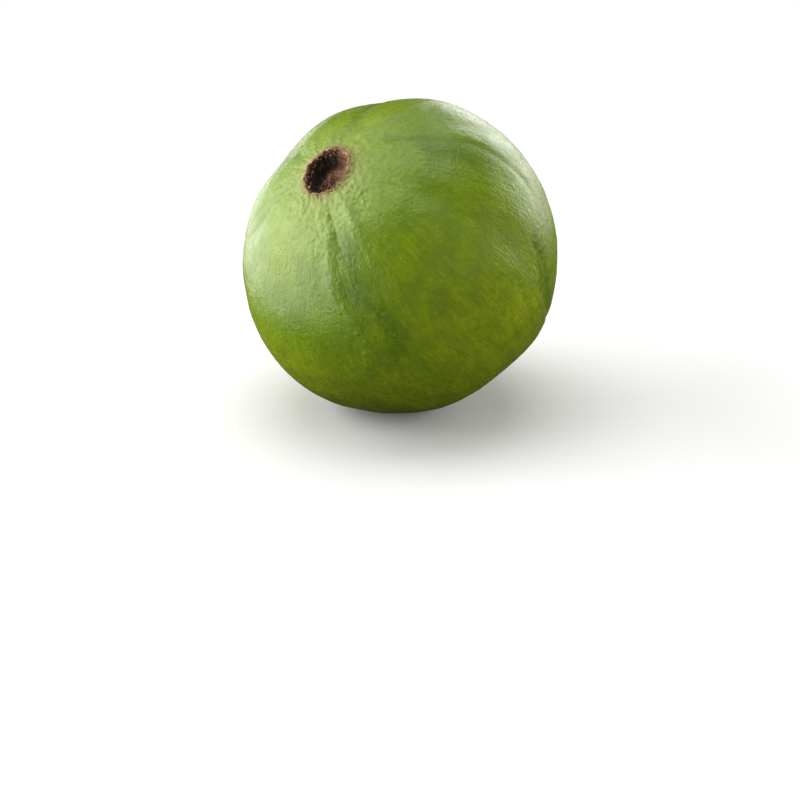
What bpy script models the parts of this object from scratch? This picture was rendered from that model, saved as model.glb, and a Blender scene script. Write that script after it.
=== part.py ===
"""A whole guava, as picked, lying on a table on a small flat spot.

The fruit is one solid. Its outline runs from the floor of the dry calyx cup, over the cup's rim, round
the flesh and into the stem scar, and is spun about the fruit's own axis. The five soft lobes, with the
grooves between them, are then raised and sunk in the skin. The axis leans over, the calyx up and to the
front left, and the underside is cut flat where the fruit rests.
"""

import math

import bmesh
import bpy
from mathutils import Matrix, Vector

MM = 0.001

# Driving dimensions
RADIUS = 37.5 * MM  # of the round flesh, half of the fruit's width
CALYX_FLATTENING = 0.072  # share of the radius lost at the calyx end
CALYX_SHOULDER = math.radians(46)  # how far round the flesh that flattening reaches
STEM_FLATTENING = 0.035
STEM_SHOULDER = math.radians(30)

# The dry cup that the flower leaves
CUP_RADIUS = 5.8 * MM  # at its mouth
CUP_FLOOR_RADIUS = 4.3 * MM
CUP_DEPTH = 4.2 * MM  # from the rim's top to the floor
CUP_BOSS_HEIGHT = 0.9 * MM  # the floor rises to where the style stood
RIM_THICKNESS = 0.9 * MM
RIM_HEIGHT = 0.7 * MM  # above the flesh round it
RIM_FOOT_RADIUS = 7.6 * MM  # where the flesh takes over from the rim

# The corky scar of the stalk, in a shallow dimple
SCAR_RADIUS = 2.1 * MM
SCAR_HEIGHT = 0.5 * MM
DIMPLE_RADIUS = 6.5 * MM
DIMPLE_DEPTH = 1.3 * MM

# How the fruit lies
LEAN = math.radians(40)  # of the fruit's axis from upright
LEAN_TOWARDS = math.radians(-138)  # counted from +X, so to the front left
REST_SPOT_RADIUS = 7.0 * MM

# Fineness of the mesh
SEGMENTS = 72
FLESH_RINGS = 32

# Soft lobes: (azimuth, half width, height, where it starts, where it ends), in degrees and millimetres.
# Azimuths are counted round the axis, starts and ends from the calyx along the skin.
GROOVES = (
    (-43, 12, -0.55, 9, 62),
    (42, 8, -0.30, 9, 40),
    (106, 8, -0.75, 20, 133),
    (205, 12, -0.40, 9, 107),
    (263, 18, -0.80, 9, 103),
)
CRESTS = (
    (60, 10, 0.40, 9, 46),
    (141, 11, 0.70, 14, 108),
    (177, 16, 0.35, 14, 97),
    (232, 17, 0.30, 14, 93),
    (36, 15, 0.55, 36, 112),
)
# Cheeks and flats of the flesh: (distance from the calyx, azimuth, reach, height), in the same units
CHEEKS = (
    (96, -12, 32, 1.1),
    (60, 163, 30, 0.6),
    (113, 209, 38, 0.4),
    (116, 11, 15, -0.5),
    (137, 70, 16, -0.7),
    (133, 100, 14, 0.7),
    (40, 4, 19, -0.55),
)
GROOVE_RISE = math.radians(24)  # how far along the skin a groove takes to reach its depth
GROOVE_FADE = 0.55  # share of its length over which it fades out

SKIN_GREEN = (0.27, 0.40, 0.02, 1.0)


def smooth_step(start, end, value):
    """0 before start, 1 after end, and a smooth rise between them."""
    share = min(1.0, max(0.0, (value - start) / (end - start)))
    return share * share * (3 - 2 * share)


def flesh_radius(polar):
    """Distance of the flesh from the fruit's centre, at an angle from the calyx end."""
    calyx = CALYX_FLATTENING * math.exp(-((polar / CALYX_SHOULDER) ** 2))
    stem = STEM_FLATTENING * math.exp(-(((math.pi - polar) / STEM_SHOULDER) ** 2))
    return RADIUS * (1 - calyx - stem)


def flesh_point(polar):
    """A point of the outline, as (distance from the axis, height along the axis)."""
    return flesh_radius(polar) * math.sin(polar), flesh_radius(polar) * math.cos(polar)


def rib_relief(rib, polar, azimuth):
    """Height that one groove or crest gives the skin."""
    centre, half_width, height, start, end = rib
    aside = (math.degrees(azimuth) - centre + 180) % 360 - 180
    across = math.exp(-((aside / half_width) ** 2))
    start, end = math.radians(start), math.radians(end)
    fade_from = end - GROOVE_FADE * (end - start)
    along = smooth_step(start, start + GROOVE_RISE, polar) * (1 - smooth_step(fade_from, end, polar))
    return height * MM * across * along


def cheek_relief(cheek, direction):
    """Height that one broad cheek or flat gives the skin."""
    polar, azimuth, reach, height = cheek
    middle = spherical(math.radians(polar), math.radians(azimuth))
    apart = math.degrees(middle.angle(direction, 0.0))
    return height * MM * math.exp(-((apart / reach) ** 2))


def spherical(polar, azimuth):
    return Vector(
        (
            math.sin(polar) * math.cos(azimuth),
            math.sin(polar) * math.sin(azimuth),
            math.cos(polar),
        )
    )


def arc(centre, radius, start, end, count):
    """Points on a circle in the outline's plane, from one angle in degrees to another."""
    angles = [math.radians(start + (end - start) * i / (count - 1)) for i in range(count)]
    return [(centre[0] + radius * math.cos(a), centre[1] + radius * math.sin(a)) for a in angles]


def calyx_outline():
    """The cup, from the middle of its floor, up its wall and over the rim to the flesh."""
    foot_polar = math.asin(RIM_FOOT_RADIUS / RADIUS / (1 - CALYX_FLATTENING))
    foot_height = flesh_point(foot_polar)[1]
    top = foot_height + RIM_HEIGHT
    floor = top - CUP_DEPTH
    lip = RIM_THICKNESS / 2
    return [
        (0.0, floor + CUP_BOSS_HEIGHT),
        (0.2 * CUP_FLOOR_RADIUS, floor + 0.85 * CUP_BOSS_HEIGHT),
        (0.5 * CUP_FLOOR_RADIUS, floor + 0.25 * CUP_BOSS_HEIGHT),
        (0.85 * CUP_FLOOR_RADIUS, floor),
        (CUP_FLOOR_RADIUS, floor + 0.1 * CUP_DEPTH),
        (CUP_FLOOR_RADIUS + 0.6 * (CUP_RADIUS - CUP_FLOOR_RADIUS), floor + 0.5 * CUP_DEPTH),
        *arc((CUP_RADIUS + lip, top - lip), lip, 180, 20, 5),
        (RIM_FOOT_RADIUS - 0.25 * RIM_THICKNESS, foot_height + 0.15 * RIM_HEIGHT),
    ], foot_polar


def stem_outline():
    """The dimple and the scar in it, from the flesh to the axis."""
    edge_polar = math.pi - math.asin(DIMPLE_RADIUS / RADIUS / (1 - STEM_FLATTENING))
    edge_height = flesh_point(edge_polar)[1]
    bottom = edge_height + DIMPLE_DEPTH
    return [
        (0.78 * DIMPLE_RADIUS, edge_height + 0.35 * DIMPLE_DEPTH),
        (0.55 * DIMPLE_RADIUS, edge_height + 0.80 * DIMPLE_DEPTH),
        (1.12 * SCAR_RADIUS, bottom),
        (SCAR_RADIUS, bottom - 0.7 * SCAR_HEIGHT),
        (0.82 * SCAR_RADIUS, bottom - SCAR_HEIGHT),
        (0.45 * SCAR_RADIUS, bottom - 0.55 * SCAR_HEIGHT),
        (0.0, bottom - 0.4 * SCAR_HEIGHT),
    ], edge_polar


def fruit_outline():
    """The whole outline from the calyx end of the axis to the stem end, as a list of points."""
    calyx, foot_polar = calyx_outline()
    stem, edge_polar = stem_outline()
    step = (edge_polar - foot_polar) / (FLESH_RINGS - 1)
    flesh = [flesh_point(foot_polar + step * i) for i in range(FLESH_RINGS)]
    return calyx + flesh + stem


def spin_outline(outline):
    """The outline turned about Z, as a closed bmesh that faces out."""
    shape = bmesh.new()
    corners = [shape.verts.new((across, 0.0, height)) for across, height in outline]
    edges = [shape.edges.new(pair) for pair in zip(corners, corners[1:])]
    bmesh.ops.spin(
        shape,
        geom=corners + edges,
        axis=(0, 0, 1),
        cent=(0, 0, 0),
        angle=math.tau,
        steps=SEGMENTS,
    )
    bmesh.ops.remove_doubles(shape, verts=shape.verts, dist=0.01 * MM)
    bmesh.ops.recalc_face_normals(shape, faces=shape.faces)
    return shape


def raise_lobes(shape):
    """Moves the skin in and out along its own radius. The grooves start outside the cup's rim."""
    for vert in shape.verts:
        direction = vert.co.normalized()
        polar = math.acos(max(-1.0, min(1.0, direction.z)))
        azimuth = math.atan2(direction.y, direction.x)
        relief = sum(rib_relief(rib, polar, azimuth) for rib in GROOVES + CRESTS)
        relief += sum(cheek_relief(cheek, direction) for cheek in CHEEKS)
        vert.co += direction * relief


def lean_over(shape):
    """Turns the fruit as it lies, with azimuth 0 on the low side of its leaning axis."""
    lean = Matrix.Rotation(LEAN_TOWARDS, 4, "Z") @ Matrix.Rotation(LEAN, 4, "Y")
    bmesh.ops.transform(shape, matrix=lean, verts=shape.verts)


def stand_on_origin(shape):
    """Puts the middle of the fruit's width over the origin, and the rest spot's plane at height 0."""
    spots = [vert.co for vert in shape.verts]
    low = Vector(min(spot[i] for spot in spots) for i in range(3))
    high = Vector(max(spot[i] for spot in spots) for i in range(3))
    pressed = RADIUS - math.sqrt(RADIUS**2 - REST_SPOT_RADIUS**2)
    middle = (low + high) / 2
    bmesh.ops.translate(shape, vec=(-middle.x, -middle.y, -low.z - pressed), verts=shape.verts)


def skin_material():
    skin = bpy.data.materials.new("skin")
    skin.use_nodes = True
    shader = skin.node_tree.nodes["Principled BSDF"]
    shader.inputs["Base Color"].default_value = SKIN_GREEN
    shader.inputs["Roughness"].default_value = 0.38
    shader.inputs["Metallic"].default_value = 0.0
    return skin


def add_table_cutter():
    """A hidden block whose top is the table. It takes off what the rest spot presses flat."""
    side = 4 * RADIUS
    bpy.ops.mesh.primitive_cube_add(size=side, location=(0, 0, -side / 2))
    cutter = bpy.context.object
    cutter.name = "table_cutter"
    cutter.hide_render = True
    cutter.display_type = "WIRE"
    return cutter


def build_guava():
    shape = spin_outline(fruit_outline())
    raise_lobes(shape)
    lean_over(shape)
    stand_on_origin(shape)
    mesh = bpy.data.meshes.new("guava")
    shape.to_mesh(mesh)
    shape.free()
    mesh.materials.append(skin_material())
    mesh.shade_smooth()
    guava = bpy.data.objects.new("guava", mesh)
    bpy.context.scene.collection.objects.link(guava)
    rest = guava.modifiers.new("rest_spot", "BOOLEAN")
    rest.operation = "DIFFERENCE"
    rest.object = add_table_cutter()
    return guava


def main():
    for old in list(bpy.data.objects):
        bpy.data.objects.remove(old)
    build_guava()


main()
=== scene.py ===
"""Looks for the guava: wrinkled skin with soft lobes, the dry calyx cup with its crumbly rim, dried
stamens and style, the corky stem scar, and a plain studio stage."""

import math
import random

import bmesh
import bpy
import numpy as np
from mathutils import Matrix, Vector, noise


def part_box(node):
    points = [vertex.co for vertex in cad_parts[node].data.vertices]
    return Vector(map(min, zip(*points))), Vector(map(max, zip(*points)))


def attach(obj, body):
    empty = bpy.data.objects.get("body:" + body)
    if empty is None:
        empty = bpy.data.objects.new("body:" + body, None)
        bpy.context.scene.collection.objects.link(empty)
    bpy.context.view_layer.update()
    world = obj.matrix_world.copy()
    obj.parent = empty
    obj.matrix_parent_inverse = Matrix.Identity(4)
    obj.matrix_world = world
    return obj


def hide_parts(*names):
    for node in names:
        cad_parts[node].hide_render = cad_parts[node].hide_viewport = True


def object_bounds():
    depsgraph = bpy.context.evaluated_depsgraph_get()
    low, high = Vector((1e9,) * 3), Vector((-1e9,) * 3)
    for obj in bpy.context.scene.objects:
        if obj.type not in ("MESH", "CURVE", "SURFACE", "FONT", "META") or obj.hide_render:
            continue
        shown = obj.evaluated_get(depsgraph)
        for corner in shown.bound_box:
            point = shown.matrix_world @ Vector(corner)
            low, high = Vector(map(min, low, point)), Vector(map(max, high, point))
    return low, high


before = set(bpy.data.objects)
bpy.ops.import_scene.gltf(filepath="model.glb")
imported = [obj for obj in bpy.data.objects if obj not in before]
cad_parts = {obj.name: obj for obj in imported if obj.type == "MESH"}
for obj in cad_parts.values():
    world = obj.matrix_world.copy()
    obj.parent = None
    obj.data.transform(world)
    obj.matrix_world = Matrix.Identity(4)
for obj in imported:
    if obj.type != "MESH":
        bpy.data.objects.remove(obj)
CAD_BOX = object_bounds()
FRUIT_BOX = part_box("guava")

bl_info = {
    "name": "Guava",
    "version": (1, 0, 0),
    "blender": (4, 5, 0),
    "location": "3D View > Sidebar > Guava",
    "description": "Builds a whole guava with its skin, dry calyx and stem scar round its solid",
    "category": "Add Mesh",
}

MM = 0.001

# The solid's own outline and lobes, which the skin follows, in millimetres and degrees
RADIUS = 37.5
CALYX_FLATTENING = 0.072
CALYX_SHOULDER = math.radians(46)
STEM_FLATTENING = 0.035
STEM_SHOULDER = math.radians(30)
CUP_RADIUS = 5.8
CUP_FLOOR_RADIUS = 4.3
CUP_DEPTH = 4.2
CUP_BOSS_HEIGHT = 0.9
RIM_THICKNESS = 0.9
RIM_HEIGHT = 0.7
RIM_FOOT_RADIUS = 7.6
SCAR_RADIUS = 2.1
SCAR_HEIGHT = 0.5
DIMPLE_RADIUS = 6.5
DIMPLE_DEPTH = 1.3
LEAN = math.radians(40)
LEAN_TOWARDS = math.radians(-138)
GROOVES = (
    (-43, 12, -0.55, 9, 62),
    (42, 8, -0.30, 9, 40),
    (106, 8, -0.75, 20, 133),
    (205, 12, -0.40, 9, 107),
    (263, 18, -0.80, 9, 103),
)
CRESTS = (
    (60, 10, 0.40, 9, 46),
    (141, 11, 0.70, 14, 108),
    (177, 16, 0.35, 14, 97),
    (232, 17, 0.30, 14, 93),
    (36, 15, 0.55, 36, 112),
)
CHEEKS = (
    (96, -12, 32, 1.1),
    (60, 163, 30, 0.6),
    (113, 209, 38, 0.4),
    (116, 11, 15, -0.5),
    (137, 70, 16, -0.7),
    (133, 100, 14, 0.7),
    (40, 4, 19, -0.55),
)
GROOVE_RISE = math.radians(24)
GROOVE_FADE = 0.55

# Narrow creases (below 0) and raised veins (above 0) of the skin. Each has a height and half width in
# millimetres, and its way as (distance from the calyx, azimuth) in degrees.
CREASES = (
    (-0.30, 0.6, ((13, 44), (19, 43), (27, 43), (34, 44))),
    (0.46, 1.9, ((20, 38), (29, 37), (40, 35), (51, 34), (59, 39), (70, 40), (80, 36))),
    (-0.10, 1.8, ((56, 43), (66, 41), (75, 38), (96, 27), (108, 24))),
    (0.50, 1.5, ((14, 66), (20, 63), (26, 61), (33, 60))),
    (0.10, 0.6, ((13, 113), (19, 111), (25, 106), (34, 106), (42, 110))),
    (-0.26, 1.0, ((13, 134), (15, 137), (25, 150), (46, 141), (56, 140), (69, 137), (79, 134), (88, 124))),
    (-0.34, 0.8, ((90, 112), (104, 104), (127, 105), (136, 108))),
    (-0.20, 0.8, ((82, 101), (94, 96), (108, 93), (120, 90))),
    (-0.20, 0.7, ((10, -30), (16, -40), (25, -48), (37, -44), (50, -46))),
    (-0.14, 1.3, ((13, 203), (28, 200), (52, 205), (78, 201), (96, 206))),
    (-0.16, 1.4, ((13, 257), (28, 262), (50, 266), (75, 262), (96, 268), (118, 271))),
    (-0.18, 0.9, ((13, 311), (28, 305), (46, 309), (70, 302))),
    (0.16, 0.9, ((15, 169), (32, 173), (50, 177), (68, 175))),
    (-0.20, 0.9, ((172, 20), (158, 24), (143, 15), (128, 20))),
    (-0.24, 1.0, ((172, 150), (156, 146), (138, 153), (120, 149))),
    (-0.22, 1.0, ((172, 260), (157, 266), (139, 258), (122, 262))),
)

CREASE_FADE = math.radians(9)  # how far along the skin a crease takes to fade out
FULL_CREASE_SHADE = 0.5  # depth at which a crease's painted shade is full
ROUGH_CREASE = 0.34  # depth from which the skin beside a crease is rough

SMALL_DENTS = 0.28  # height of the small dents, as a share of the broad ones
SCUFF_HEIGHT = 0.065  # of the skin that is rough
SCAR_CRUMB = 0.08  # height of the crumbs round the stem scar

# Zones of the skin by their distance from the axis in millimetres: where a change starts, and where
# it is complete
DRY_EDGE = (6.05, 6.45)  # from the dry cup to the skin
CUP_FLESH = (6.7, 8.2)
STEM_FLESH = (4.5, 6.5)
STEM_DRY = (1.6, 5.6)
CUP_WALL = (3.6, 4.6)  # from the cup's floor to its wall
CUP_REACH = 7.0  # up to here the skin counts as the cup's
HALO_START, HALO_REACH = 6.5, 1.2
LIP_MIDDLE, LIP_HALF_WIDTH = 6.1, 0.32
RIM_MIDDLE, RIM_HALF_WIDTH = 6.3, 0.95

# The dry cup, in degrees, millimetres and shares of full strength
PAINTED_LIGHT_SIDE = 115  # azimuth of the side painted as lit, with painted shade on the side opposite
PAINTED_LIGHT_SPOT = (PAINTED_LIGHT_SIDE + 40, 2.9, 2.3)  # azimuth, distance from the axis and reach of the painted pool of light
# Shares of the near-black painted shade on the cup's wall and floor, on the side away from the light
PAINTED_SHADE_WALL, PAINTED_SHADE_FLOOR = 0.94, 0.40
TORN_SIDE = -14  # azimuth where the rim's flakes stand tallest
FLAKE_COLUMNS, FLAKE_LEVELS = 6, 5
FLAKE_FOOT = 0.35  # how deep a flake starts in the rim
STAMEN_STEPS = 6
STYLE_THICKNESS = 1.1 * MM

# The corky scar from its middle to its hidden edge: (distance from the axis, depth under the dimple)
SCAR_PROFILE = (
    (0.0, -0.32),
    (0.35, -0.30),
    (0.62, -0.16),
    (0.95, -0.34),
    (1.40, -0.48),
    (1.80, -0.50),
    (2.08, -0.34),
    (2.22, -0.02),
    (2.30, 0.30),
)
SCAR_COLUMNS = 96
SCAR_BACK = 0.35  # how deep in the fruit its closed back lies

# Bands of deeper green in the grooves, partly the skin's own deeper green and partly painted shade on the
# skin turned from the light: half width in millimetres, and the way in degrees
DEEP_AND_SHADED_BANDS = (
    (2.8, ((30, 46), (42, 47), (51, 46), (59, 51), (70, 50), (82, 44))),
    (1.8, ((86, 116), (104, 108), (127, 107))),
    (2.2, ((24, 150), (46, 134), (60, 130))),
    (2.4, ((14, 203), (30, 200), (52, 206), (78, 201))),
    (2.8, ((14, 257), (40, 265), (75, 261), (110, 269))),
)

# Colours that no setting changes
# near black of the painted shade in the cup
PAINTED_SHADE_COLOUR = (0.006, 0.004, 0.003, 1)
FLOOR_IN_GLOSS = (0.06, 0.06, 0.05, 1)
WHITE = (1, 1, 1, 1)

# Soft lights: name, place, way it faces and size in metres, and its share of a brightness of the stage
SOFT_LIGHTS = (
    ("window_left", (-1.0, 0.10, 0.52), (1, 0, 0), (1.5, 0.95), 1.0, "window"),
    ("table_left", (-0.565, 0.25, 0.004), (0, 0, 1), (0.95, 1.2), 1.0, "table"),
    ("overhead", (-0.1, 0.35, 1.45), (0, 0, -1), (1.5, 1.3), 1.0, "overhead"),
    ("back_right", (0.60, 0.82, 0.26), (-0.60, -0.82, 0), (1.2, 0.54), 1.0, "back"),
    ("table_right", (0.62, 0.62, 0.004), (0, 0, 1), (0.9, 0.9), 0.4, "back"),
    ("fill_right", (0.85, -0.42, 0.22), (-0.85, 0.42, -0.18), (1.3, 0.8), 1.0, "fill"),
)
FLOOR_RADIUS = 6.0
FLOOR_GAP = 0.05 * MM
FADE_TO_WHITE = (0.05, 0.32)  # distances from the fruit, in metres

# The camera
LENS, SENSOR_WIDTH = 90, 36
AIM = Vector((0, 0, 0.0365))
EYE_DISTANCE = 0.4776
EYE_ELEVATION = math.radians(21.9)
EYE_TILT = math.radians(90 - 26)


# ---------------------------------------------------------------------------------------------------
# Sizes and colours a user would change


def count(name, description, default, **limits):
    return bpy.props.IntProperty(name=name, description=description, default=default, **limits)


def amount(name, description, default, **kind):
    return bpy.props.FloatProperty(name=name, description=description, default=default, **kind)


def colour(name, description, *default):
    return bpy.props.FloatVectorProperty(
        name=name, description=description, subtype="COLOR", size=4, default=(*default, 1)
    )


class GuavaShape(bpy.types.PropertyGroup):
    segments: count("Segments", "Columns of the skin's mesh round the fruit", 320, min=64)
    wrinkle_height: amount(
        "Wrinkle height", "Height of the wrinkles that spread from the calyx, in millimetres", 0.15
    )
    dent_height: amount("Dent height", "Height of the broad soft dents, in millimetres", 0.26)
    pebble_height: amount("Pebble height", "Height of the fine pebbling, in millimetres", 0.022)
    streak_height: amount(
        "Streak height", "Height of the fine lines from calyx to stem, in millimetres", 0.035
    )
    crease_strength: amount("Crease strength", "Multiplies the height of every crease", 1.0)


class GuavaCalyx(bpy.types.PropertyGroup):
    seed: count("Seed", "Changes the flakes and fibres", 7)
    rim_raggedness: amount("Rim raggedness", "How uneven the rim stands, in millimetres", 0.42)
    flakes: count("Flakes", "Dried flakes along the rim", 64)
    stamens: count("Stamens", "Dried stamens in the cup", 40)
    stamen_thickness: amount(
        "Stamen thickness", "Thickness of a dried stamen", 0.16 * MM, subtype="DISTANCE", unit="LENGTH"
    )


class GuavaColours(bpy.types.PropertyGroup):
    green: colour("Green", "Main colour of the skin", 0.157, 0.250, 0.003)
    ripe: colour("Ripe", "Yellow-green of the riper skin", 0.325, 0.398, 0.004)
    deep: colour("Deep", "Darker green of unripe patches and lines", 0.080, 0.146, 0.002)
    pale: colour("Pale", "Waxy pale green near the calyx", 0.285, 0.385, 0.075)
    halo: colour("Halo", "Brownish yellow round the calyx rim", 0.36, 0.27, 0.10)
    dry_dark: colour("Dry dark", "Darkest brown of the dry calyx", 0.020, 0.009, 0.006)
    dry_red: colour("Dry red", "Reddish brown of the dry calyx", 0.34, 0.145, 0.085)
    # painted light: the pink of the cup's floor on its lit side
    painted_light_pink: colour("Dry pink", "Bleached side of the cup's floor", 0.56, 0.24, 0.16)
    dry_tan: colour("Dry tan", "Tan of the dry rim and flakes", 0.56, 0.37, 0.19)


class GuavaStage(bpy.types.PropertyGroup):
    floor: colour("Floor", "Colour of the floor", 0.86, 0.86, 0.85)
    window: amount("Window", "Brightness of the big soft light on the left", 5.1)
    table: amount("Table", "Brightness of the low soft light that lies on the left", 2.8)
    overhead: amount("Overhead", "Brightness of the soft light above", 2.35)
    back: amount("Back", "Brightness of the low soft light behind right", 3.7)
    sky: amount("Sky", "Brightness of the light from all round", 0.20)
    fill: amount("Fill", "Brightness of the soft light on the right, which the gloss doesn't show", 2.3)
    bounce: amount("Bounce", "Share of the light that the floor gives back to the fruit", 0.20)


# ---------------------------------------------------------------------------------------------------
# Outline of the fruit


def smooth_step(start, end, value):
    """0 before start, 1 after end, and a smooth rise between them."""
    share = np.clip((value - start) / (end - start), 0.0, 1.0)
    return share * share * (3 - 2 * share)


def flesh_radius(polar):
    calyx = CALYX_FLATTENING * np.exp(-((polar / CALYX_SHOULDER) ** 2))
    stem = STEM_FLATTENING * np.exp(-(((math.pi - polar) / STEM_SHOULDER) ** 2))
    return RADIUS * (1 - calyx - stem)


def flesh_point(polar):
    """A point of the outline, as (distance from the axis, height along the axis)."""
    return flesh_radius(polar) * math.sin(polar), flesh_radius(polar) * math.cos(polar)


def arc(centre, radius, start, end, count):
    angles = [math.radians(start + (end - start) * i / (count - 1)) for i in range(count)]
    return [(centre[0] + radius * math.cos(a), centre[1] + radius * math.sin(a)) for a in angles]


FOOT_POLAR = math.asin(RIM_FOOT_RADIUS / RADIUS / (1 - CALYX_FLATTENING))
DIMPLE_POLAR = math.pi - math.asin(DIMPLE_RADIUS / RADIUS / (1 - STEM_FLATTENING))
FOOT_HEIGHT = flesh_point(FOOT_POLAR)[1]
RIM_TOP = FOOT_HEIGHT + RIM_HEIGHT
CUP_FLOOR = RIM_TOP - CUP_DEPTH
SCAR_BOTTOM = flesh_point(DIMPLE_POLAR)[1] + DIMPLE_DEPTH


def cup_corners():
    lip = RIM_THICKNESS / 2
    return [
        (0.0, CUP_FLOOR + CUP_BOSS_HEIGHT),
        (0.2 * CUP_FLOOR_RADIUS, CUP_FLOOR + 0.85 * CUP_BOSS_HEIGHT),
        (0.5 * CUP_FLOOR_RADIUS, CUP_FLOOR + 0.25 * CUP_BOSS_HEIGHT),
        (0.85 * CUP_FLOOR_RADIUS, CUP_FLOOR),
        (CUP_FLOOR_RADIUS, CUP_FLOOR + 0.1 * CUP_DEPTH),
        (CUP_FLOOR_RADIUS + 0.6 * (CUP_RADIUS - CUP_FLOOR_RADIUS), CUP_FLOOR + 0.5 * CUP_DEPTH),
        *arc((CUP_RADIUS + lip, RIM_TOP - lip), lip, 180, 20, 5),
        (RIM_FOOT_RADIUS - 0.25 * RIM_THICKNESS, FOOT_HEIGHT + 0.15 * RIM_HEIGHT),
    ]


def stem_corners():
    edge = flesh_point(DIMPLE_POLAR)[1]
    return [
        (0.78 * DIMPLE_RADIUS, edge + 0.35 * DIMPLE_DEPTH),
        (0.55 * DIMPLE_RADIUS, edge + 0.80 * DIMPLE_DEPTH),
        (1.12 * SCAR_RADIUS, SCAR_BOTTOM),
        (0.55 * SCAR_RADIUS, SCAR_BOTTOM + 0.12),
        (0.0, SCAR_BOTTOM + 0.15),
    ]


def smooth_line(corners, spacings):
    """A smooth curve through the corners, with each stretch cut to its own spacing."""
    line = []
    for i in range(len(corners) - 1):
        before = Vector(corners[max(0, i - 1)])
        start, end = Vector(corners[i]), Vector(corners[i + 1])
        after = Vector(corners[min(len(corners) - 1, i + 2)])
        count = max(1, round((end - start).length / spacings[i]))
        for k in range(count):
            t = k / count
            slope_in, slope_out = (end - before) / 2, (after - start) / 2
            spot = (
                (2 * t**3 - 3 * t**2 + 1) * start
                + (t**3 - 2 * t**2 + t) * slope_in
                + (3 * t**2 - 2 * t**3) * end
                + (t**3 - t**2) * slope_out
            )
            line.append((max(0.0, spot.x), spot.y))
    return line


def fruit_outline():
    """The outline from the middle of the cup's floor to the stem end, as an array of points."""
    cup = cup_corners()
    ahead = [flesh_point(FOOT_POLAR), flesh_point(FOOT_POLAR + 0.05)]
    cup_line = smooth_line(cup + ahead, [0.22] * 5 + [0.16] + [0.12] * 5 + [0.14, 9])[:-1]
    polars = [FOOT_POLAR]
    while polars[-1] < DIMPLE_POLAR - 0.01:
        step = 0.26 + 0.36 * float(smooth_step(0.45, 0.95, polars[-1]))
        step -= 0.20 * float(smooth_step(2.5, 2.9, polars[-1]))
        polars.append(polars[-1] + step / RADIUS)
    flesh_line = [flesh_point(polar) for polar in polars[:-1]]
    stem = [flesh_point(DIMPLE_POLAR - 0.05), flesh_point(DIMPLE_POLAR)] + stem_corners()
    stem_line = smooth_line(stem, [9, 0.35, 0.35, 0.3, 0.3, 0.3])[1:]
    return np.array(cup_line + flesh_line + stem_line + [(0.0, stem[-1][1])])


# ---------------------------------------------------------------------------------------------------
# Relief of the skin


def wrap_degrees(angle):
    return (angle + 180.0) % 360.0 - 180.0


def directions(polar, azimuth):
    return np.stack(
        [np.sin(polar) * np.cos(azimuth), np.sin(polar) * np.sin(azimuth), np.cos(polar)], axis=-1
    )


def lobe_relief(polar, azimuth):
    """The solid's own grooves, crests and cheeks, in millimetres."""
    relief = np.zeros_like(polar)
    for centre, half_width, height, start, end in GROOVES + CRESTS:
        across = np.exp(-((wrap_degrees(np.degrees(azimuth) - centre) / half_width) ** 2))
        start, end = math.radians(start), math.radians(end)
        fade_from = end - GROOVE_FADE * (end - start)
        along = smooth_step(start, start + GROOVE_RISE, polar) * (1 - smooth_step(fade_from, end, polar))
        relief += height * across * along
    facing = directions(polar, azimuth)
    for middle, around, reach, height in CHEEKS:
        centre = directions(np.float64(math.radians(middle)), np.float64(math.radians(around)))
        apart = np.degrees(np.arccos(np.clip(facing @ centre, -1, 1)))
        relief += height * np.exp(-((apart / reach) ** 2))
    return relief


def grain(spots, size, layers=1, shift=0.0):
    """Smooth noise, about -1 to 1, with features of about that size in the spots' own unit."""
    away = Vector((shift, 1.7 * shift, 2.3 * shift))
    return np.array(
        [noise.fractal(Vector(spot) / size + away, 1.0, 2.1, layers) for spot in spots.tolist()]
    )


def ridged(values):
    """Turns smooth noise into thin raised lines on broad hollows, -1 to 1."""
    return 1 - 2 * np.minimum(1.0, 2.2 * np.abs(values))


def beside_way(polar, azimuth, way):
    """Millimetres aside of a way along the skin, and the angles where the way starts and ends."""
    along, around = zip(*sorted((math.radians(along), around) for along, around in way))
    aside = np.radians(wrap_degrees(np.degrees(azimuth) - np.interp(polar, along, around)))
    return aside * RADIUS * np.sin(polar), along[0], along[-1]


def crease_relief(polar, azimuth, wobble, strength):
    """(height, painted shade by nearness to a crease and its depth) of the narrow creases and veins."""
    height = np.zeros_like(polar)
    near = np.zeros_like(polar)
    for tall, half_width, way in CREASES:
        apart, start, end = beside_way(polar, azimuth, way)
        fade = smooth_step(start - 0.3 * CREASE_FADE, start + CREASE_FADE, polar)
        fade *= 1 - smooth_step(end - CREASE_FADE, end + 0.5 * CREASE_FADE, polar)
        line = np.exp(-(((apart + wobble) / half_width) ** 2)) * fade
        height += strength * tall * line
        if tall < 0:
            # deeper creases get darker painted shade
            near = np.maximum(near, line * min(1.0, -tall / FULL_CREASE_SHADE))
    return height, near


def grid_normals(spots, rows, columns):
    """Outward normals of a grid of points that runs round the fruit."""
    grid = spots.reshape(rows, columns, 3)
    down = np.gradient(grid, axis=0)
    round_ = np.roll(grid, -1, axis=1) - np.roll(grid, 1, axis=1)
    normals = np.cross(down, round_)
    lengths = np.linalg.norm(normals, axis=2, keepdims=True)
    return (normals / np.maximum(lengths, 1e-9)).reshape(-1, 3)


def lean_over(spots):
    """Turns points of the fruit's own frame as its solid lies, calyx up and to the front left."""
    lean = Matrix.Rotation(LEAN_TOWARDS, 3, "Z") @ Matrix.Rotation(LEAN, 3, "Y")
    return spots @ np.array(lean).T


def solid_offset(leant):
    """The move that puts the leant shape's box on its solid's box, level with its top."""
    low, high = (np.array(corner) / MM for corner in FRUIT_BOX)
    middle = (low + high) / 2
    own_low, own_high = leant.min(0), leant.max(0)
    own_middle = (own_low + own_high) / 2
    return np.array([middle[0] - own_middle[0], middle[1] - own_middle[1], high[2] - own_high[2]])


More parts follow.
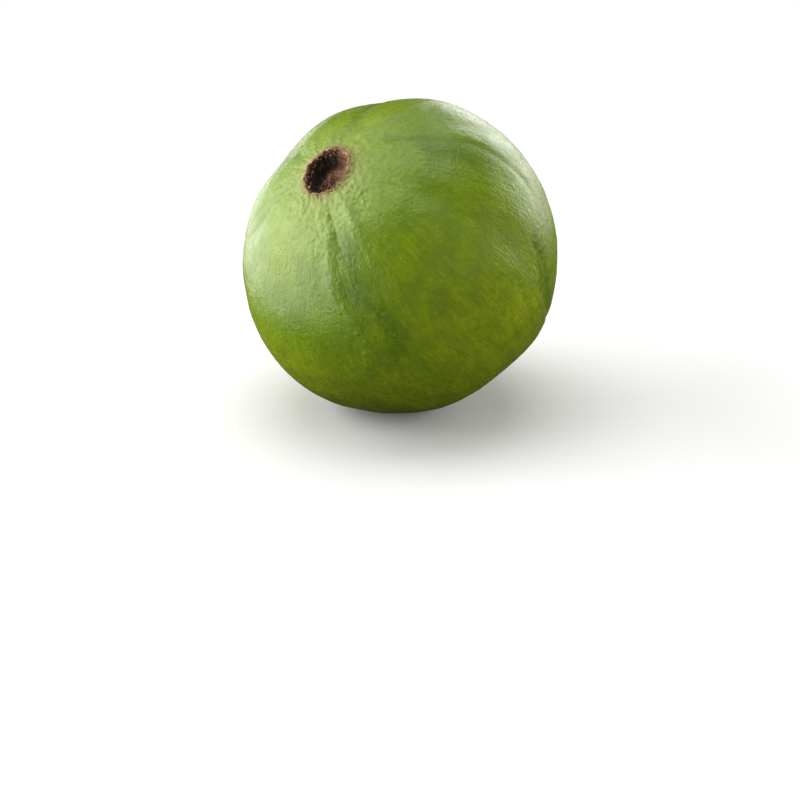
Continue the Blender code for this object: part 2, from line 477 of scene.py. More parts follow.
class FruitSkin:
    """Points and masks of the skin's mesh, row by row from the calyx to the stem."""

    def __init__(self, shape, calyx):
        outline = fruit_outline()
        self.rows, self.columns = len(outline) - 2, shape.segments
        turn = np.arange(self.columns) / self.columns * math.tau
        across = np.repeat(outline[1:-1, 0], self.columns)
        height = np.repeat(outline[1:-1, 1], self.columns)
        self.azimuth = np.tile(turn, self.rows)
        self.across = np.concatenate([[0.0], across, [0.0]])
        self.height = np.concatenate([[outline[0, 1]], height, [outline[-1, 1]]])
        self.azimuth = np.concatenate([[0.0], self.azimuth, [0.0]])
        self.polar = np.arctan2(self.across, self.height)
        self.plain = np.stack(
            [
                self.across * np.cos(self.azimuth),
                self.across * np.sin(self.azimuth),
                self.height,
            ],
            axis=-1,
        )
        facing = directions(self.polar, self.azimuth)
        self.lobed = self.plain + facing * lobe_relief(self.polar, self.azimuth)[:, None]
        self.offset = solid_offset(lean_over(self.lobed))
        self.round_spot = np.stack(
            [np.cos(self.azimuth), np.sin(self.azimuth), 0 * self.azimuth], axis=-1
        )
        self.spread_masks()
        self.raise_detail(shape, calyx)

    def ring_spots(self, around, along):
        """Coordinates that run round the axis and along the skin, for noise stretched along it."""
        spots = self.round_spot * around
        spots[:, 2] = self.polar * along
        return spots

    def spread_masks(self):
        """Where the dry calyx, the flesh and the stem end are, and the cup's painted shade and painted
        light.
        """
        across, at_calyx = self.across, self.height > 0
        jitter = 0.30 * grain(self.ring_spots(2.6, 1.0), 1.0, 3, 3.1)
        self.cup = np.where(at_calyx, 1 - smooth_step(*DRY_EDGE, across + jitter), 0.0)
        self.flesh = np.where(at_calyx, smooth_step(*CUP_FLESH, across), smooth_step(*STEM_FLESH, across))
        self.halo = np.where(at_calyx, np.exp(-np.maximum(0, across - HALO_START) / HALO_REACH), 0.0)
        self.stem = np.where(at_calyx, 0.0, 1 - smooth_step(*STEM_DRY, across + jitter))

        # the cup's wall is painted nearly black as painted shade, except on its lit side. Its floor is
        # red-brown, with painted shade on the side away from the light
        inside = at_calyx & (across < CUP_REACH)
        depth = np.where(inside, np.clip((RIM_TOP - self.height) / CUP_DEPTH, 0, 1), 0.0)
        side = np.cos(self.azimuth - np.radians(PAINTED_LIGHT_SIDE)) + 0.5 * jitter
        wall = smooth_step(2.6, 4.3, across) * smooth_step(0.05, 0.28, depth)
        floor = smooth_step(0.6, 0.8, depth) * (1 - wall) * across / 4.0
        self.char = PAINTED_SHADE_WALL * wall * smooth_step(0.55, -0.30, side)
        self.char += PAINTED_SHADE_FLOOR * floor * smooth_step(0.0, -0.75, side)
        # painted light: a pool of light painted on the cup's floor at its lit side
        turn, distance, reach = PAINTED_LIGHT_SPOT
        middle = distance * np.array([math.cos(math.radians(turn)), math.sin(math.radians(turn))])
        apart = np.linalg.norm(self.plain[:, :2] - middle, axis=1)
        self.painted_light = np.where(at_calyx, np.exp(-((apart / reach) ** 2)), 0.0)
        gaps = np.clip(0.72 + 0.55 * grain(self.ring_spots(6.0, 0.0), 1.0, 2, 18.0), 0, 1)
        off_lip = (across + 0.8 * jitter - LIP_MIDDLE) / LIP_HALF_WIDTH
        self.lip = np.where(at_calyx, gaps * np.exp(-(off_lip**2)), 0.0)

    def raise_detail(self, shape, calyx):
        """Adds the skin's wrinkles, the cup's crumbs and the ragged rim to the lobed fruit."""
        normals = np.zeros_like(self.lobed)
        normals[1:-1] = grid_normals(self.lobed[1:-1], self.rows, self.columns)
        normals[0], normals[-1] = (0, 0, 1), (0, 0, -1)
        detail = self.flesh * self.skin_relief(shape) + (1 - self.flesh) * self.cup_relief()
        on_scar = np.where(self.height > 0, 0.0, 1 - smooth_step(1.0, 5.0, self.across))
        detail += on_scar * SCAR_CRUMB * grain(self.plain, 0.9, 3, 15.0)
        self.detailed = self.lobed + normals * detail[:, None]
        self.tear_rim(calyx.rim_raggedness)

    def skin_relief(self, shape):
        """Creases, wrinkles, dents, streaks and pebbling, in millimetres."""
        polar, plain = self.polar, self.plain
        wobble = 0.55 * grain(plain, 4.5, 2, 1.3)
        # the crease mask is painted shade in the creases, by nearness and depth
        creases, self.crease = crease_relief(polar, self.azimuth, wobble, shape.crease_strength)
        near_calyx = np.exp(-(np.maximum(0, polar - FOOT_POLAR) / math.radians(13)) ** 1.5)
        broad_folds = ridged(grain(self.ring_spots(3.2, 2.6), 1.0, 2, 4.4))
        fine_folds = ridged(grain(plain, 2.1, 2, 8.2))
        wrinkles = near_calyx * (0.65 * broad_folds + 0.45 * fine_folds)
        streaks = grain(self.ring_spots(26.0, 5.0), 1.0, 2, 2.2)
        streak_reach = smooth_step(0.25, 0.5, polar) * (1 - 0.6 * smooth_step(2.0, 2.7, polar))
        # the skin is rougher along the deep creases and beside the calyx
        deep_creases = [(3.2, way) for tall, _, way in CREASES if abs(tall) >= ROUGH_CREASE]
        self.rough = np.clip(1.3 * self.way_reach(deep_creases) + 0.75 * near_calyx, 0, 1)
        # bands along the grooves: partly the skin's own deeper green, partly painted shade
        self.band = self.way_reach(DEEP_AND_SHADED_BANDS, 2.6 * grain(plain, 7.0, 2, 17.0))
        return (
            creases
            + shape.wrinkle_height * wrinkles
            + shape.dent_height * grain(plain, 12.0, 2, 5.0)
            + SMALL_DENTS * shape.dent_height * grain(plain, 4.2, 2, 6.6)
            + shape.streak_height * streaks * streak_reach
            + shape.pebble_height * grain(plain, 1.25, 2, 9.0)
            + SCUFF_HEIGHT * ridged(grain(plain, 1.3, 2, 7.7)) * self.rough
        )

    def cup_relief(self):
        """The cup's crumbly floor and fibrous wall, in millimetres."""
        crumbs = ridged(grain(self.plain, 1.05, 3, 11.0)) * 0.20 + 0.16 * grain(self.plain, 0.45, 2, 12.0)
        fibres = 0.20 * grain(self.ring_spots(9.0, 1.5), 1.0, 3, 13.0)
        on_wall = smooth_step(*CUP_WALL, self.across)
        cup = (1 - on_wall) * crumbs + on_wall * (0.55 * crumbs + fibres)
        return np.where(self.height > 0, cup, 0.0)

    def tear_rim(self, rag):
        """Makes the rim stand unevenly, and lean in and out of the cup."""
        off_rim = (self.across - RIM_MIDDLE) / RIM_HALF_WIDTH
        on_rim = np.exp(-(off_rim**2)) * (self.height > FOOT_HEIGHT - 1.6)
        in_cup = smooth_step(2.5, 5.6, self.across) * (1 - smooth_step(6.6, 8.4, self.across))
        in_cup *= self.height > 0
        stand = self.ring_noise((0.55, 1.1, 1, 21.0), (0.60, 4.2, 2, 22.0), (0.55, 13.0, 2, 23.0))
        lean_in = self.ring_noise((0.9, 0.9, 1, 24.0), (0.55, 3.4, 2, 25.0), (0.30, 12.0, 2, 26.0))
        self.detailed[:, 2] += rag * on_rim * stand * 1.5
        self.detailed[:, :2] += self.round_spot[:, :2] * (rag * in_cup * lean_in * 1.3)[:, None]

    def ring_noise(self, *waves):
        """A sum of noises that only run round the axis, each as (height, number, layers, shift)."""
        total = 0.0
        for height, number, layers, shift in waves:
            total = total + height * grain(self.ring_spots(number, 0), 1.0, layers, shift)
        return total

    def way_reach(self, ways, wobble=0.0):
        """Nearness to some ways along the skin, each given as (half width, stops)."""
        spread = np.zeros_like(self.polar)
        for half_width, way in ways:
            apart, start, end = beside_way(self.polar, self.azimuth, way)
            fade = smooth_step(start - 0.1, start + 0.1, self.polar)
            fade *= 1 - smooth_step(end - 0.25, end + 0.15, self.polar)
            spread = np.maximum(spread, fade * np.exp(-(((apart + wobble) / half_width) ** 2)))
        return spread

    def placed(self, spots):
        return lean_over(spots) + self.offset


def rest_flat(spots):
    """Presses what would lie below the table up to it, with a soft edge."""
    soft = 0.05
    lift = spots[:, 2]
    spots[:, 2] = np.where(
        lift > soft, lift, np.where(lift < -soft, 0.0, (lift + soft) ** 2 / (4 * soft))
    )
    return spots


def to_world(skin, spot):
    """A point of the fruit's own frame, in millimetres, as a point of the scene."""
    return Vector(skin.placed(np.array([spot], float))[0]) * MM


def new_piece(name, mesh, material):
    piece = bpy.data.objects.new(name, mesh)
    bpy.context.scene.collection.objects.link(piece)
    mesh.materials.append(material)
    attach(piece, "root")
    return piece


MASKS = ("cup", "halo", "stem", "crease", "rough", "band", "char", "painted_light", "lip")


def build_skin_mesh(skin):
    points = rest_flat(skin.placed(skin.detailed)) * MM
    rows, columns = skin.rows, skin.columns
    first = 1
    last = first + rows * columns
    faces = []
    for k in range(columns):
        faces.append((0, first + k, first + (k + 1) % columns))
    for row in range(rows - 1):
        upper = first + row * columns
        lower = upper + columns
        for k in range(columns):
            after = (k + 1) % columns
            faces.append((upper + k, lower + k, lower + after, upper + after))
    bottom = first + (rows - 1) * columns
    for k in range(columns):
        faces.append((last, bottom + (k + 1) % columns, bottom + k))
    mesh = bpy.data.meshes.new("guava_skin")
    mesh.from_pydata(points.tolist(), [], faces)
    mesh.shade_smooth()
    masks = {name: getattr(skin, name) for name in MASKS}
    masks["along"] = skin.polar / math.pi
    for name, values in masks.items():
        mesh.attributes.new(name, "FLOAT", "POINT").data.foreach_set("value", values.astype(np.float32))
    for name, spots in (("fruit_spot", skin.plain), ("streak_spot", skin.ring_spots(RADIUS, 7.0))):
        mesh.attributes.new(name, "FLOAT_VECTOR", "POINT").data.foreach_set(
            "vector", spots.astype(np.float32).ravel()
        )
    return mesh


# ---------------------------------------------------------------------------------------------------
# Materials


def node(tree, kind, label, **settings):
    made = tree.nodes.new(kind)
    made.label = label
    made.name = label
    for key, value in settings.items():
        setattr(made, key, value)
    return made


def wire(tree, source, target):
    """Joins an output to an input, or sets the input to a plain value."""
    if isinstance(source, bpy.types.NodeSocket):
        tree.links.new(source, target)
    else:
        target.default_value = source


def mix_colour(tree, label, share, first, second, blend="MIX"):
    made = node(tree, "ShaderNodeMix", label, data_type="RGBA", blend_type=blend)
    wire(tree, share, made.inputs[0])
    wire(tree, first, made.inputs[6])
    wire(tree, second, made.inputs[7])
    return made.outputs[2]


def maths(tree, label, operation, first, second=0.5, clamp=False):
    made = node(tree, "ShaderNodeMath", label, operation=operation, use_clamp=clamp)
    wire(tree, first, made.inputs[0])
    wire(tree, second, made.inputs[1])
    return made.outputs[0]


def times(tree, label, first, second):
    return maths(tree, label, "MULTIPLY", first, second)


def mix_shader(tree, label, share, first, second):
    made = node(tree, "ShaderNodeMixShader", label)
    wire(tree, share, made.inputs[0])
    wire(tree, first.outputs[0], made.inputs[1])
    wire(tree, second.outputs[0], made.inputs[2])
    return made


def remap(tree, label, value, low, high, to_low=0.0, to_high=1.0):
    made = node(tree, "ShaderNodeMapRange", label, interpolation_type="SMOOTHSTEP")
    wire(tree, value, made.inputs["Value"])
    made.inputs["From Min"].default_value = low
    made.inputs["From Max"].default_value = high
    made.inputs["To Min"].default_value = to_low
    made.inputs["To Max"].default_value = to_high
    return made.outputs["Result"]


def attribute(tree, name, output="Fac"):
    made = node(tree, "ShaderNodeAttribute", name, attribute_name=name, attribute_type="GEOMETRY")
    return made.outputs[output]


def noise_value(tree, label, spot, scale, detail=3.0, roughness=0.55):
    made = node(tree, "ShaderNodeTexNoise", label)
    wire(tree, spot, made.inputs["Vector"])
    made.inputs["Scale"].default_value = scale
    made.inputs["Detail"].default_value = detail
    made.inputs["Roughness"].default_value = roughness
    return made.outputs["Fac"]


def new_group(name, inputs, outputs):
    """A shader group with named inputs and outputs, as {name: (kind, default)}."""
    group = bpy.data.node_groups.new(name, "ShaderNodeTree")
    for label, (kind, default) in inputs.items():
        socket = group.interface.new_socket(label, in_out="INPUT", socket_type=kind)
        if default is not None:
            socket.default_value = default
    for label, kind in outputs.items():
        group.interface.new_socket(label, in_out="OUTPUT", socket_type=kind)
    entry = node(group, "NodeGroupInput", "inputs")
    result = node(group, "NodeGroupOutput", "outputs")
    return group, entry.outputs, result.inputs


def dry_tissue_group():
    """Crumbly brown plant tissue: colour, roughness and height, for the cup, flakes and stamens."""
    group, given, out = new_group(
        "dry_tissue",
        {
            "Spot": ("NodeSocketVector", None),
            "Dark": ("NodeSocketColor", (0.02, 0.01, 0.006, 1)),
            "Brown": ("NodeSocketColor", (0.17, 0.07, 0.04, 1)),
            "Tan": ("NodeSocketColor", (0.4, 0.27, 0.15, 1)),
            "Tan share": ("NodeSocketFloat", 0.3),
        },
        {"Color": "NodeSocketColor", "Roughness": "NodeSocketFloat", "Height": "NodeSocketFloat"},
    )
    clumps = noise_value(group, "clumps", given["Spot"], 1.1, 4.0, 0.65)
    crumbs = noise_value(group, "crumbs", given["Spot"], 3.4, 4.0, 0.7)
    flecks = noise_value(group, "flecks", given["Spot"], 5.5, 2.0, 0.6)
    clumped = remap(group, "clump share", clumps, 0.36, 0.62)
    browned = mix_colour(group, "brown on dark", clumped, given["Dark"], given["Brown"])
    shift = maths(group, "tan shift", "SUBTRACT", given["Tan share"], 0.5)
    flecked = remap(group, "fleck share", maths(group, "fleck reach", "ADD", flecks, shift), 0.44, 0.66)
    tanned = mix_colour(group, "tan flecks", flecked, browned, given["Tan"])
    shade = remap(group, "crumb shade", crumbs, 0.3, 0.7, 0.62, 1.25)
    grey = node(group, "ShaderNodeCombineColor", "shade as colour")
    for i in range(3):
        wire(group, shade, grey.inputs[i])
    coloured = mix_colour(group, "crumb shading", 1.0, tanned, grey.outputs[0], "MULTIPLY")
    wire(group, coloured, out["Color"])
    wire(group, remap(group, "crumb roughness", crumbs, 0.2, 0.8, 0.72, 0.96), out["Roughness"])
    wire(group, maths(group, "crumb height", "ADD", crumbs, clumps), out["Height"])
    return group


def skin_marks_group():
    """Fine lines from calyx to stem, blotches and pores of the skin, as masks and one height."""
    group, given, out = new_group(
        "skin_marks",
        {
            "Spot": ("NodeSocketVector", None),
            "Streak spot": ("NodeSocketVector", None),
            "Pore density": ("NodeSocketFloat", 0.55),
            "Fold strength": ("NodeSocketFloat", 0.3),
        },
        {
            name: "NodeSocketFloat"
            for name in ("Streaks", "Mottling", "Blotches", "Patches", "Pores", "Height")
        },
    )
    streaks = noise_value(group, "streaks", given["Streak spot"], 0.85, 3.0, 0.6)
    fine = noise_value(group, "fine streaks", given["Streak spot"], 2.4, 2.0, 0.6)
    joined = times(group, "all streaks", maths(group, "sum", "ADD", streaks, fine), 0.5)
    wire(group, remap(group, "streak mask", joined, 0.36, 0.64), out["Streaks"])
    for label, scale, detail, roughness, low, high in (
        ("Mottling", 0.8, 4.0, 0.7, 0.36, 0.64),
        ("Blotches", 0.16, 4.0, 0.6, 0.34, 0.66),
        ("Patches", 0.042, 2.0, 0.5, 0.36, 0.64),
    ):
        spread = noise_value(group, label, given["Spot"], scale, detail, roughness)
        wire(group, remap(group, label + " mask", spread, low, high), out[label])
    pebbles = noise_value(group, "pebbles", given["Spot"], 1.9, 3.0, 0.6)
    folds = node(group, "ShaderNodeTexNoise", "folds", noise_type="RIDGED_MULTIFRACTAL")
    wire(group, given["Spot"], folds.inputs["Vector"])
    folds.inputs["Scale"].default_value = 0.62
    folds.inputs["Detail"].default_value = 3.0
    folded = times(group, "fold height", folds.outputs["Fac"], given["Fold strength"])

    cells = node(group, "ShaderNodeTexVoronoi", "pore cells", feature="F1")
    wire(group, given["Spot"], cells.inputs["Vector"])
    cells.inputs["Scale"].default_value = 0.72
    pore = remap(group, "pore shape", cells.outputs["Distance"], 0.06, 0.20, 1.0, 0.0)
    places = noise_value(group, "pore places", given["Spot"], 0.9, 0.0)
    shown = maths(group, "pore choice", "LESS_THAN", places, given["Pore density"])
    pores = times(group, "pores", pore, shown)
    wire(group, pores, out["Pores"])

    raised = times(group, "line height", joined, 0.8)
    raised = maths(group, "and pebbles", "ADD", raised, times(group, "pebble height", pebbles, 0.6))
    raised = maths(group, "and folds", "ADD", raised, folded)
    raised = maths(group, "less pores", "SUBTRACT", raised, times(group, "pore depth", pores, 0.30))
    wire(group, raised, out["Height"])
    return group


def new_material(name):
    material = bpy.data.materials.new(name)
    material.use_nodes = True
    return material, material.node_tree, material.node_tree.nodes["Principled BSDF"]


def place_group(tree, group, given):
    """Places a group with its inputs wired or set, and gives its outputs."""
    made = node(tree, "ShaderNodeGroup", group.name)
    made.node_tree = group
    for name, source in given.items():
        wire(tree, source, made.inputs[name])
    return made.outputs


def place_dry_tissue(tree, group, colours, spot, tan_share):
    given = {
        "Spot": spot,
        "Dark": colours.dry_dark,
        "Brown": colours.dry_red,
        "Tan": colours.dry_tan,
        "Tan share": tan_share,
    }
    return place_group(tree, group, given)


def bump(tree, label, height, strength, distance, under=None):
    made = node(tree, "ShaderNodeBump", label)
    wire(tree, height, made.inputs["Height"])
    made.inputs["Strength"].default_value = strength
    made.inputs["Distance"].default_value = distance
    if under is not None:
        wire(tree, under, made.inputs["Normal"])
    return made.outputs["Normal"]


def skin_colour(tree, colours, marks):
    """The green skin from its main colour outwards, each layer as (label, share, colour)."""
    along = attribute(tree, "along")
    mottling, blotches = marks["Mottling"], marks["Blotches"]
    ripening = times(tree, "riper below", remap(tree, "towards the stem", along, 0.33, 0.56), 0.66)
    patchy = times(tree, "patch part", marks["Patches"], 0.42)
    broken = remap(tree, "broken bands", mottling, 0.0, 1.0, 0.45, 1.0)
    streaky = remap(tree, "streak reach", along, 0.07, 0.24, 0.06, 0.42)
    near_calyx = remap(tree, "pale reach", along, 0.05, 0.24, 0.62, 0.0)
    less_mottled = remap(tree, "pale mottling", mottling, 0.0, 1.0, 1.0, 0.35)
    halo_breaks = remap(tree, "halo breaks", blotches, 0.0, 1.0, 0.95, 0.45)
    layers = (
        ("green to ripe", maths(tree, "ripeness", "ADD", ripening, patchy, True), colours.ripe),
        ("deep blotches", times(tree, "blotch part", blotches, 0.42), colours.deep),
        ("deep mottling", times(tree, "mottling part", mottling, 0.22), colours.deep),
        # partly the skin's own deeper green, partly painted shade in the grooves
        ("deep and shaded bands", times(tree, "band part", attribute(tree, "band"), broken), colours.deep),
        ("deep streaks", times(tree, "streak part", marks["Streaks"], streaky), colours.deep),
        ("pale calyx end", times(tree, "pale share", near_calyx, less_mottled), colours.pale),
        # painted shade: creases darkened towards deep green by their depth
        ("painted crease shade", times(tree, "crease part", attribute(tree, "crease"), 0.45), colours.deep),
        ("pore spots", times(tree, "pore part", marks["Pores"], 0.35), colours.pale),
        ("halo", times(tree, "halo part", attribute(tree, "halo"), halo_breaks), colours.halo),
    )
    skin = colours.green
    for label, share, layer in layers:
        skin = mix_colour(tree, label + " layer", share, skin, layer)
    return skin


def cup_tissue(tree, colours, dry_group, spot):
    """(colour with the cup's painted shade and painted light, outputs of the dry tissue) of the cup and
    the stem end.
    """
    painted_light = attribute(tree, "painted_light")
    # more tan on the lip and on the painted light
    lip_and_painted_light = maths(tree, "lip and painted light", "MAXIMUM", painted_light, attribute(tree, "lip"))
    tan_share = remap(tree, "tan share", lip_and_painted_light, 0.0, 1.0, 0.36, 0.66)
    dry = place_dry_tissue(tree, dry_group, colours, spot, tan_share)
    # painted shade: near black on the cup's side away from the light
    shade_share = times(tree, "char part", attribute(tree, "char"), 0.9)
    tissue = mix_colour(tree, "painted shade side", shade_share, dry["Color"], PAINTED_SHADE_COLOUR)
    # painted light: the lit side of the cup's floor turned pink
    faded = times(tree, "bleach part", painted_light, 0.34)
    return mix_colour(tree, "painted light patch", faded, tissue, colours.painted_light_pink), dry


def skin_material(colours, marks_group, dry_group):
    material, tree, shader = new_material("guava_skin")
    spot = attribute(tree, "fruit_spot", "Vector")
    rough = attribute(tree, "rough")
    given = {
        "Spot": spot,
        "Streak spot": attribute(tree, "streak_spot", "Vector"),
        "Fold strength": maths(tree, "fold strength", "MULTIPLY_ADD", rough, 0.75),
    }
    marks = place_group(tree, marks_group, given)
    tissue, dry = cup_tissue(tree, colours, dry_group, spot)
    dried = maths(tree, "dry parts", "MAXIMUM", attribute(tree, "cup"), attribute(tree, "stem"))
    body = mix_colour(tree, "dry tissue", dried, skin_colour(tree, colours, marks), tissue)
    wire(tree, body, shader.inputs["Base Color"])

    polish = remap(tree, "polish", marks["Blotches"], 0.0, 1.0, 0.22, 0.32)
    polish = maths(tree, "rougher folds", "ADD", polish, times(tree, "fold part", rough, 0.06))
    either = node(tree, "ShaderNodeMix", "skin or dry roughness", data_type="FLOAT")
    wire(tree, dried, either.inputs[0])
    wire(tree, polish, either.inputs[2])
    wire(tree, dry["Roughness"], either.inputs[3])
    wire(tree, either.outputs[0], shader.inputs["Roughness"])

    fine = bump(tree, "skin grain", marks["Height"], 1.0, 0.24 * MM)
    crumbly = times(tree, "dry height", dry["Height"], dried)
    wire(tree, bump(tree, "dry grain", crumbly, 0.9, 0.30 * MM, fine), shader.inputs["Normal"])
    shader.inputs["Specular IOR Level"].default_value = 0.44
    shader.inputs["Metallic"].default_value = 0.0
    return material


def dry_material(name, colours, dry_group, tan_share, size=1.0):
    """Dry brown tissue for the small pieces of the calyx and the stem scar."""
    material, tree, shader = new_material(name)
    place = node(tree, "ShaderNodeTexCoord", "place")
    scaled = node(tree, "ShaderNodeVectorMath", "in millimetres", operation="SCALE")
    wire(tree, place.outputs["Object"], scaled.inputs[0])
    scaled.inputs["Scale"].default_value = size / MM
    dry = place_dry_tissue(tree, dry_group, colours, scaled.outputs[0], tan_share)
    wire(tree, dry["Color"], shader.inputs["Base Color"])
    wire(tree, dry["Roughness"], shader.inputs["Roughness"])
    wire(tree, bump(tree, "dry grain", dry["Height"], 0.8, 0.15 * MM), shader.inputs["Normal"])
    return material


# ---------------------------------------------------------------------------------------------------
# Pieces

WORK = {}


def finishes():
    """The shared groups and materials, made once."""
    if "dry_group" not in WORK:
        colours = bpy.context.scene.guava_colours
        WORK["dry_group"] = dry_tissue_group()
        WORK["marks_group"] = skin_marks_group()
        WORK["skin"] = skin_material(colours, WORK["marks_group"], WORK["dry_group"])
        WORK["flake"] = dry_material("dry_flake", colours, WORK["dry_group"], 0.64)
        WORK["stamen"] = dry_material("dry_stamen", colours, WORK["dry_group"], 0.46, 0.8)
        WORK["cork"] = dry_material("cork", colours, WORK["dry_group"], 0.52, 0.9)
    return WORK


def fruit_skin():
    if "skin_shape" not in WORK:
        scene = bpy.context.scene
        WORK["skin_shape"] = FruitSkin(scene.guava_shape, scene.guava_calyx)
    return WORK["skin_shape"]


def surface_spot(skin, across, azimuth):
    """A point of the finished calyx end, in the fruit's frame, at a distance from the axis."""
    aside = np.abs(wrap_degrees(np.degrees(skin.azimuth - azimuth)))
    gap = np.abs(skin.across - across) + 0.02 * aside
    return skin.detailed[np.argmin(np.where(skin.height > 0, gap, np.inf))]


def add_flake(shape, skin, dice, azimuth, across, width, tall, tilt):
    """One dried flake: a small curved scale with a ragged top, thick enough to be solid."""
    foot = surface_spot(skin, across, azimuth)
    outward = Vector((math.cos(azimuth), math.sin(azimuth), 0))
    sideways = Vector((-math.sin(azimuth), math.cos(azimuth), 0))
    up = (Vector((0, 0, 1)) + outward * tilt).normalized()
    inward = sideways.cross(up).normalized()
    columns, levels = FLAKE_COLUMNS, FLAKE_LEVELS
    thick = dice.uniform(0.10, 0.20)
    curl = dice.uniform(-0.5, 0.5)
    tops = [dice.uniform(0.45, 1.0) for _ in range(columns)]
    sheets = []
    for side in (-1, 1):
        sheet = []
        for level in range(levels):
            share = level / (levels - 1)
            for k in range(columns):
                aside = (k / (columns - 1) - 0.5) * 2
                narrow = 1 - 0.45 * share
                rise = share * tall * tops[k] - FLAKE_FOOT * (1 - share)
                bow = -0.25 * width * aside * aside + curl * tall * share * share
                swell = thick * (1 - 0.7 * share) * (1 - 0.6 * abs(aside))
                spot = (
                    Vector(foot)
                    + sideways * (0.5 * width * aside * narrow)
                    + up * rise
                    - inward * (bow - 0.35 * curl * tall * share)
                    + inward * (side * (0.03 + swell))
                )
                spot += outward * (0.07 * noise.noise(spot * 1.9))
                sheet.append(shape.verts.new(to_world(skin, spot)))
        sheets.append(sheet)
    inner, outer = sheets
    for level in range(levels - 1):
        for k in range(columns - 1):
            a = level * columns + k
            b = a + columns
            shape.faces.new((inner[a], inner[a + 1], inner[b + 1], inner[b]))
            shape.faces.new((outer[a], outer[b], outer[b + 1], outer[a + 1]))
    edge = [level * columns for level in range(levels)]
    edge += [(levels - 1) * columns + k for k in range(1, columns)]
    edge += [level * columns + columns - 1 for level in range(levels - 2, -1, -1)]
    edge += [k for k in range(columns - 2, 0, -1)]
    for a, b in zip(edge, edge[1:] + edge[:1]):
        shape.faces.new((inner[a], inner[b], outer[b], outer[a]))


def join_rings(shape, rings):
    for lower, upper in zip(rings, rings[1:]):
        for k in range(len(lower)):
            after = (k + 1) % len(lower)
            shape.faces.new((lower[k], lower[after], upper[after], upper[k]))


def add_fibre(shape, skin, spots, thickness, sides=6):
    """One round fibre along the spots, tapering to closed ends."""
    rings = []
    count = len(spots)
    for i, spot in enumerate(spots):
        ahead = (Vector(spots[min(count - 1, i + 1)]) - Vector(spots[max(0, i - 1)])).normalized()
        aside = ahead.cross(Vector((0.3, 0.2, 0.93))).normalized()
        third = ahead.cross(aside)
        radius = thickness / 2 / MM * (1 - 0.55 * i / (count - 1))
        ring = []
        for k in range(sides):
            turn = math.tau * k / sides
            out = (aside * math.cos(turn) + third * math.sin(turn)) * radius
            ring.append(shape.verts.new(to_world(skin, Vector(spot) + out)))
        rings.append(ring)
    join_rings(shape, rings)
    shape.faces.new(list(reversed(rings[0])))
    shape.faces.new(rings[-1])


def finished_mesh(shape, name):
    bmesh.ops.recalc_face_normals(shape, faces=shape.faces)
    mesh = bpy.data.meshes.new(name)
    shape.to_mesh(mesh)
    shape.free()
    mesh.shade_smooth()
    return mesh


class GUAVA_OT_fruit(bpy.types.Operator):
    """Build the fruit's skin with its lobes, creases, wrinkles and dry calyx cup"""

    bl_idname = "guava.fruit"
    bl_label = "Fruit"

    def execute(self, context):
        skin = fruit_skin()
        piece = new_piece("guava_fruit", build_skin_mesh(skin), finishes()["skin"])
        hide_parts("guava")
        return {"FINISHED"}


class GUAVA_OT_calyx_flakes(bpy.types.Operator):
    """Build the dried flakes along the rim of the calyx cup"""

    bl_idname = "guava.calyx_flakes"
    bl_label = "Calyx flakes"

    def execute(self, context):
        calyx = context.scene.guava_calyx
        skin = fruit_skin()
        dice = random.Random(calyx.seed)
        shape = bmesh.new()
        for i in range(calyx.flakes):
            azimuth = math.tau * (i + dice.uniform(-0.4, 0.4)) / calyx.flakes
            width = dice.uniform(0.35, 1.0)
            tall = dice.uniform(0.2, 0.55)
            across = 5.7 + dice.uniform(-0.3, 0.3)
            if math.cos(azimuth - math.radians(TORN_SIDE)) > 0.8:
                tall, across = 1.7 * tall, across - 0.25
            add_flake(shape, skin, dice, azimuth, across, width, tall, dice.uniform(-0.9, 0.25))
        mesh = finished_mesh(shape, "calyx_flakes")
        new_piece("calyx_flakes", mesh, finishes()["flake"])
        return {"FINISHED"}


class GUAVA_OT_stamens(bpy.types.Operator):
    """Build the dried stamens that lie curled in the calyx cup, and the stub of the style"""

    bl_idname = "guava.stamens"
    bl_label = "Stamens and style"

    def execute(self, context):
        calyx = context.scene.guava_calyx
        skin = fruit_skin()
        dice = random.Random(calyx.seed + 1)
        shape = bmesh.new()
        for _ in range(calyx.stamens):
            azimuth = dice.uniform(0, math.tau)
            across = 4.4 * math.sqrt(dice.uniform(0.06, 1.0))
            heading = azimuth + dice.uniform(-1.6, 1.6) + math.pi
            bend = dice.uniform(-0.9, 0.9)
            length = dice.uniform(1.2, 2.8)
            spots = []
            flat = Vector((across * math.cos(azimuth), across * math.sin(azimuth)))
            for k in range(STAMEN_STEPS + 1):
                share = k / STAMEN_STEPS
                reach = min(flat.length, 4.5)
                ground = surface_spot(skin, reach, math.atan2(flat.y, flat.x))
                hump = 0.10 + dice.uniform(0.0, 0.10) + 0.45 * math.sin(math.pi * share) * abs(bend)
                spots.append((flat.x, flat.y, ground[2] + hump))
                heading += bend * 0.35
                flat += Vector((math.cos(heading), math.sin(heading))) * (length / STAMEN_STEPS)
            add_fibre(shape, skin, spots, calyx.stamen_thickness * dice.uniform(0.7, 1.3))
        mesh = finished_mesh(shape, "dry_stamens")
        new_piece("dry_stamens", mesh, finishes()["stamen"])

        shape = bmesh.new()
        base = Vector(surface_spot(skin, 0.1, 0.0))
        spots = [base + Vector((0.012 * k * k, 0.05 * k, -0.4 + 0.42 * k)) for k in range(5)]
        add_fibre(shape, skin, spots, STYLE_THICKNESS, 10)
        bmesh.ops.subdivide_edges(shape, edges=shape.edges, cuts=1, use_grid_fill=True)
        for vert in shape.verts:
            vert.co += Vector((1, 0.4, 0.7)) * (0.09 * MM * noise.noise(vert.co / (0.4 * MM)))
        mesh = finished_mesh(shape, "style_stub")
        new_piece("style_stub", mesh, finishes()["stamen"])
        return {"FINISHED"}


